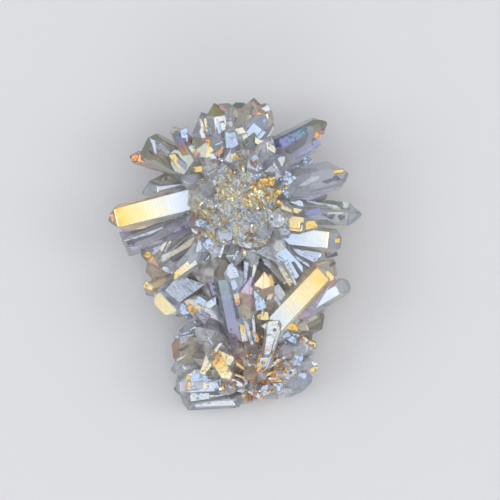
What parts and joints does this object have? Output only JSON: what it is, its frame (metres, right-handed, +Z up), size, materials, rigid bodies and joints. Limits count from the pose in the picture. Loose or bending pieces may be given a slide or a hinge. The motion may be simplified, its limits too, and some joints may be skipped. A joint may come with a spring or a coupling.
{
  "type": "quartz crystal cluster",
  "caption": "Spray of clear quartz points with a thin pale iridescent film, grown from a massive white root and lying on its broken back.",
  "frame": {"origin": "middle of the footprint, on the surface the cluster rests on", "axes": "+Z up, away from the broken back; +Y from the foot of the cluster to the top of its fan; +X to the right of the fan"},
  "size_m": [0.0636, 0.0786, 0.031],
  "materials": {
    "quartz": "clear to milky quartz with glossy striated faces under a thin metal-oxide film, pale blue, cream, gold and violet"
  },
  "bodies": {
    "root": {"quartz_cluster": "quartz"}
  },
  "joints": []
}
